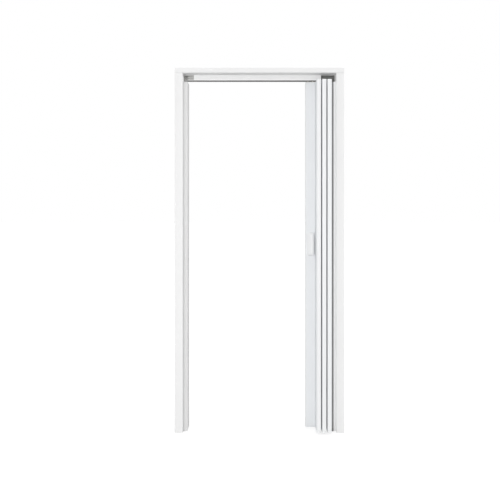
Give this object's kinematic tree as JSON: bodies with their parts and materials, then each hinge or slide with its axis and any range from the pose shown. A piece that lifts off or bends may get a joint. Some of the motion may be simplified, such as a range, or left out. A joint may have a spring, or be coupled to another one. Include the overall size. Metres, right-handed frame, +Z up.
{
  "type": "accordion door",
  "caption": "White folding door of hollow hinged slats on a top track, folded back to one side of its lined and cased opening.",
  "frame": {"origin": "on the floor, under the middle of the track", "axes": "+X to the right across the opening, the front faces -Y, +Z up"},
  "size_m": [0.972, 0.1472, 2.095],
  "materials": {
    "frame_paint": "white satin lacquer",
    "profile_plastic": "extruded white PVC, satin",
    "slat_plastic": "extruded white PVC, satin",
    "hinge_plastic": "flexible white PVC, smooth",
    "handle_plastic": "moulded white ABS, smooth",
    "runner_nylon": "natural nylon",
    "seal_rubber": "soft off-white PVC",
    "screw_steel": "bright zinc plate"
  },
  "bodies": {
    "frame": {"left_jamb_lining": "frame_paint", "right_jamb_lining": "frame_paint", "head_lining": "frame_paint", "front_left_architrave": "frame_paint", "front_right_architrave": "frame_paint", "front_head_architrave": "frame_paint", "back_left_architrave": "frame_paint", "back_right_architrave": "frame_paint", "back_head_architrave": "frame_paint", "top_track": "profile_plastic", "strike_profile": "profile_plastic", "wall_profile": "profile_plastic", "wall_strip": "hinge_plastic", "track_screw_1": "screw_steel", "track_screw_2": "screw_steel", "track_screw_3": "screw_steel", "strike_screw_1": "screw_steel", "strike_screw_2": "screw_steel", "strike_screw_3": "screw_steel", "wall_screw_1": "screw_steel", "wall_screw_2": "screw_steel", "wall_screw_3": "screw_steel"},
    "first_half_slat": {"slat_1": "slat_plastic"},
    "link_1": {"hinge_link_1": "hinge_plastic"},
    "second_slat": {"slat_2": "slat_plastic", "hanger_2": "runner_nylon"},
    "link_2": {"hinge_link_2": "hinge_plastic"},
    "third_slat": {"slat_3": "slat_plastic", "hanger_3": "runner_nylon"},
    "link_3": {"hinge_link_3": "hinge_plastic"},
    "fourth_slat": {"slat_4": "slat_plastic", "hanger_4": "runner_nylon"},
    "link_4": {"hinge_link_4": "hinge_plastic"},
    "fifth_slat": {"slat_5": "slat_plastic", "hanger_5": "runner_nylon"},
    "link_5": {"hinge_link_5": "hinge_plastic"},
    "last_half_slat": {"slat_6": "slat_plastic"},
    "lead": {"lead_panel": "slat_plastic", "left_lead_hanger": "runner_nylon", "right_lead_hanger": "runner_nylon", "lead_edge_seal": "seal_rubber", "lead_bottom_cap": "slat_plastic", "front_handle": "handle_plastic", "back_handle": "handle_plastic", "lower_handle_screw": "screw_steel", "upper_handle_screw": "screw_steel"}
  },
  "joints": [
    {"name": "fold", "type": "hinge", "parent": "frame", "child": "first_half_slat", "pos_m": [0.4074, 0, 0], "axis": [0, 0, -1], "range_deg": [0, 85]},
    {"name": "link_1_near", "type": "hinge", "parent": "first_half_slat", "child": "link_1", "pos_m": [0.4074, -0.0697, 0], "axis": [0, 0, 1], "range_deg": [0, 85]},
    {"name": "link_1_far", "type": "hinge", "parent": "link_1", "child": "second_slat", "pos_m": [0.39215, -0.0697, 0], "axis": [0, 0, 1], "range_deg": [0, 85]},
    {"name": "link_2_near", "type": "hinge", "parent": "second_slat", "child": "link_2", "pos_m": [0.39215, 0.0697, 0], "axis": [0, 0, -1], "range_deg": [0, 85]},
    {"name": "link_2_far", "type": "hinge", "parent": "link_2", "child": "third_slat", "pos_m": [0.3769, 0.0697, 0], "axis": [0, 0, -1], "range_deg": [0, 85]},
    {"name": "link_3_near", "type": "hinge", "parent": "third_slat", "child": "link_3", "pos_m": [0.3769, -0.0697, 0], "axis": [0, 0, 1], "range_deg": [0, 85]},
    {"name": "link_3_far", "type": "hinge", "parent": "link_3", "child": "fourth_slat", "pos_m": [0.36165, -0.0697, 0], "axis": [0, 0, 1], "range_deg": [0, 85]},
    {"name": "link_4_near", "type": "hinge", "parent": "fourth_slat", "child": "link_4", "pos_m": [0.36165, 0.0697, 0], "axis": [0, 0, -1], "range_deg": [0, 85]},
    {"name": "link_4_far", "type": "hinge", "parent": "link_4", "child": "fifth_slat", "pos_m": [0.3464, 0.0697, 0], "axis": [0, 0, -1], "range_deg": [0, 85]},
    {"name": "link_5_near", "type": "hinge", "parent": "fifth_slat", "child": "link_5", "pos_m": [0.3464, -0.0697, 0], "axis": [0, 0, 1], "range_deg": [0, 85]},
    {"name": "link_5_far", "type": "hinge", "parent": "link_5", "child": "last_half_slat", "pos_m": [0.33115, -0.0697, 0], "axis": [0, 0, 1], "range_deg": [0, 85]},
    {"name": "lead_swivel", "type": "hinge", "parent": "last_half_slat", "child": "lead", "pos_m": [0.33115, 0, 0], "axis": [0, 0, -1], "range_deg": [0, 85]}
  ],
  "couplings": [
    {"joint": "link_1_near", "follows": "fold", "ratio": 1},
    {"joint": "link_1_far", "follows": "fold", "ratio": 1},
    {"joint": "link_2_near", "follows": "fold", "ratio": 1},
    {"joint": "link_2_far", "follows": "fold", "ratio": 1},
    {"joint": "link_3_near", "follows": "fold", "ratio": 1},
    {"joint": "link_3_far", "follows": "fold", "ratio": 1},
    {"joint": "link_4_near", "follows": "fold", "ratio": 1},
    {"joint": "link_4_far", "follows": "fold", "ratio": 1},
    {"joint": "link_5_near", "follows": "fold", "ratio": 1},
    {"joint": "link_5_far", "follows": "fold", "ratio": 1},
    {"joint": "lead_swivel", "follows": "fold", "ratio": 1}
  ]
}
